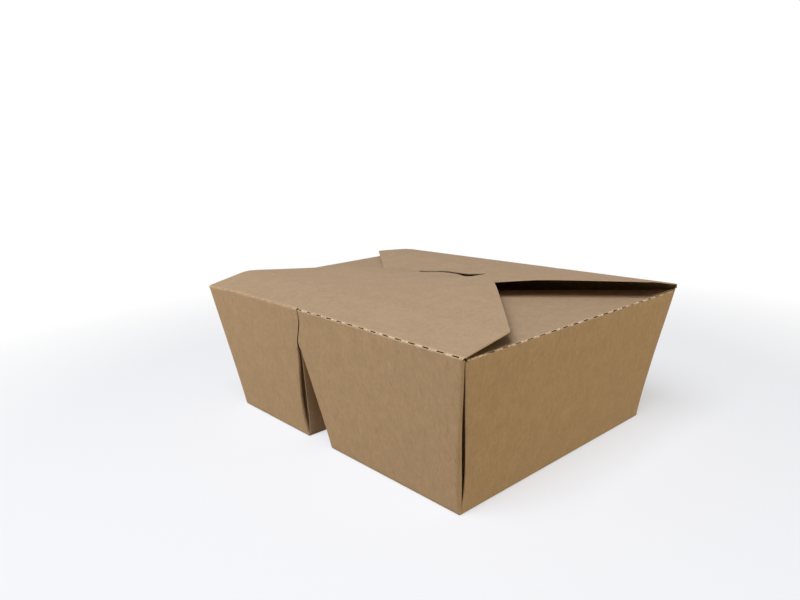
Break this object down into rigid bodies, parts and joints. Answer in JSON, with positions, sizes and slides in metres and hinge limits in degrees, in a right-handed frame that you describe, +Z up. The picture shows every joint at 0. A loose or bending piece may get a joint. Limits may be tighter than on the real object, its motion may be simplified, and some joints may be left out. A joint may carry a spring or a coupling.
{
  "type": "takeaway box",
  "caption": "Divided takeaway box of folded kraft board, with leaning walls, web corners and a top flap that locks with a tongue.",
  "frame": {"origin": "centre of the flat bottom, on the surface that the box stands on", "axes": "+Z up, +X along the long side towards the larger compartment, +Y from the front wall with the top flap's crease towards the back wall"},
  "size_m": [0.18, 0.144, 0.0727],
  "materials": {
    "kraft_board": "matt uncoated kraft board with fine fibres"
  },
  "bodies": {
    "tray": {"tray": "kraft_board"},
    "front_flap": {"front_flap": "kraft_board"}
  },
  "joints": [
    {"name": "front_flap_hinge", "type": "hinge", "parent": "tray", "child": "front_flap", "pos_m": [0, -0.07178, 0.06427], "axis": [1, 0, 0], "range_deg": [0, 200]}
  ]
}
